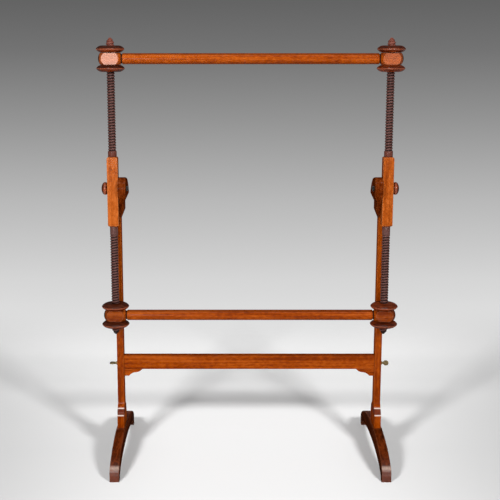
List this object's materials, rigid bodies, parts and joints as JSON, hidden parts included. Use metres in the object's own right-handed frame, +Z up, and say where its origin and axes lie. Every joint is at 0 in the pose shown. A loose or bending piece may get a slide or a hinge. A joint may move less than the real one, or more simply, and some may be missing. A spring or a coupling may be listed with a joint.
{
  "type": "floor-standing needlework frame",
  "caption": "Floor-standing wooden needlework frame: bars clamped by disc nuts on wooden screws, tilting between posts on arched feet.",
  "frame": {"origin": "on the floor, midway between the two feet", "axes": "+Z up, the worker sits at -Y, +X to the worker's right"},
  "size_m": [0.708, 0.392, 1.016],
  "materials": {
    "mahogany": "french polished, satin to gloss",
    "dark_mahogany": "french polished, darkened with age",
    "screw_wood": "dark hardwood, worn thread crests",
    "turned_wood": "turned and polished",
    "brass": "aged",
    "iron": "dark, dull"
  },
  "bodies": {
    "stand": {"stretcher": "mahogany", "left_foot": "dark_mahogany", "left_post": "mahogany", "left_head_bracket": "dark_mahogany", "left_corner_bracket": "mahogany", "left_thumb_nut": "brass", "left_tilt_nut": "iron", "right_foot": "dark_mahogany", "right_post": "mahogany", "right_head_bracket": "dark_mahogany", "right_corner_bracket": "mahogany", "right_thumb_nut": "brass", "right_tilt_nut": "iron"},
    "screw_frame": {"left_centre_block": "mahogany", "left_upper_screw": "screw_wood", "left_lower_screw": "screw_wood", "right_centre_block": "mahogany", "right_upper_screw": "screw_wood", "right_lower_screw": "screw_wood"},
    "upper_bar": {"upper_bar": "mahogany"},
    "lower_bar": {"lower_bar": "mahogany"},
    "left_knob": {"left_tilt_knob": "turned_wood", "left_tilt_bolt": "iron"},
    "left_thumbscrew": {"left_thumbscrew": "brass"},
    "right_knob": {"right_tilt_knob": "turned_wood", "right_tilt_bolt": "iron"},
    "right_thumbscrew": {"right_thumbscrew": "brass"},
    "upper_left_top_nut": {"upper_left_top_nut": "turned_wood"},
    "upper_left_bottom_nut": {"upper_left_bottom_nut": "turned_wood"},
    "upper_right_top_nut": {"upper_right_top_nut": "turned_wood"},
    "upper_right_bottom_nut": {"upper_right_bottom_nut": "turned_wood"},
    "lower_left_top_nut": {"lower_left_top_nut": "turned_wood"},
    "lower_left_bottom_nut": {"lower_left_bottom_nut": "turned_wood"},
    "lower_right_top_nut": {"lower_right_top_nut": "turned_wood"},
    "lower_right_bottom_nut": {"lower_right_bottom_nut": "turned_wood"}
  },
  "joints": [
    {"name": "frame_tilt", "type": "hinge", "parent": "stand", "child": "screw_frame", "pos_m": [0, -0.05, 0.6697], "axis": [-1, 0, 0], "range_deg": [0, 80]},
    {"name": "left_knob_turn", "type": "hinge", "parent": "stand", "child": "left_knob", "pos_m": [-0.34, -0.05, 0.6697], "axis": [-1, 0, 0], "continuous": true},
    {"name": "left_thumbscrew_turn", "type": "hinge", "parent": "stand", "child": "left_thumbscrew", "pos_m": [-0.333, 0, 0.2289], "axis": [-1, 0, 0], "continuous": true},
    {"name": "right_knob_turn", "type": "hinge", "parent": "stand", "child": "right_knob", "pos_m": [0.34, -0.05, 0.6697], "axis": [1, 0, 0], "continuous": true},
    {"name": "right_thumbscrew_turn", "type": "hinge", "parent": "stand", "child": "right_thumbscrew", "pos_m": [0.333, 0, 0.2289], "axis": [1, 0, 0], "continuous": true},
    {"name": "upper_bar_slide", "type": "slide", "parent": "screw_frame", "child": "upper_bar", "axis": [0, 0, 1], "range_m": [-0.1778, 0]},
    {"name": "upper_left_top_nut_turn", "type": "hinge", "parent": "upper_bar", "child": "upper_left_top_nut", "pos_m": [-0.3216, -0.05, 0.9905], "axis": [0, 0, 1], "range_deg": [-10080, 0]},
    {"name": "upper_left_bottom_nut_turn", "type": "hinge", "parent": "upper_bar", "child": "upper_left_bottom_nut", "pos_m": [-0.3216, -0.05, 0.9469], "axis": [0, 0, 1], "range_deg": [-10080, 0]},
    {"name": "upper_right_top_nut_turn", "type": "hinge", "parent": "upper_bar", "child": "upper_right_top_nut", "pos_m": [0.3216, -0.05, 0.9905], "axis": [0, 0, 1], "range_deg": [-10080, 0]},
    {"name": "upper_right_bottom_nut_turn", "type": "hinge", "parent": "upper_bar", "child": "upper_right_bottom_nut", "pos_m": [0.3216, -0.05, 0.9469], "axis": [0, 0, 1], "range_deg": [-10080, 0]},
    {"name": "lower_bar_slide", "type": "slide", "parent": "screw_frame", "child": "lower_bar", "axis": [0, 0, 1], "range_m": [0, 0.15875]},
    {"name": "lower_left_top_nut_turn", "type": "hinge", "parent": "lower_bar", "child": "lower_left_top_nut", "pos_m": [-0.3216, -0.05, 0.3861], "axis": [0, 0, 1], "range_deg": [0, 9000]},
    {"name": "lower_left_bottom_nut_turn", "type": "hinge", "parent": "lower_bar", "child": "lower_left_bottom_nut", "pos_m": [-0.3216, -0.05, 0.3425], "axis": [0, 0, 1], "range_deg": [0, 9000]},
    {"name": "lower_right_top_nut_turn", "type": "hinge", "parent": "lower_bar", "child": "lower_right_top_nut", "pos_m": [0.3216, -0.05, 0.3861], "axis": [0, 0, 1], "range_deg": [0, 9000]},
    {"name": "lower_right_bottom_nut_turn", "type": "hinge", "parent": "lower_bar", "child": "lower_right_bottom_nut", "pos_m": [0.3216, -0.05, 0.3425], "axis": [0, 0, 1], "range_deg": [0, 9000]}
  ],
  "couplings": [
    {"joint": "upper_left_top_nut_turn", "follows": "upper_bar_slide", "rad_per_m": 989.48},
    {"joint": "upper_left_bottom_nut_turn", "follows": "upper_bar_slide", "rad_per_m": 989.48},
    {"joint": "upper_right_top_nut_turn", "follows": "upper_bar_slide", "rad_per_m": 989.48},
    {"joint": "upper_right_bottom_nut_turn", "follows": "upper_bar_slide", "rad_per_m": 989.48},
    {"joint": "lower_left_top_nut_turn", "follows": "lower_bar_slide", "rad_per_m": 989.48},
    {"joint": "lower_left_bottom_nut_turn", "follows": "lower_bar_slide", "rad_per_m": 989.48},
    {"joint": "lower_right_top_nut_turn", "follows": "lower_bar_slide", "rad_per_m": 989.48},
    {"joint": "lower_right_bottom_nut_turn", "follows": "lower_bar_slide", "rad_per_m": 989.48}
  ]
}
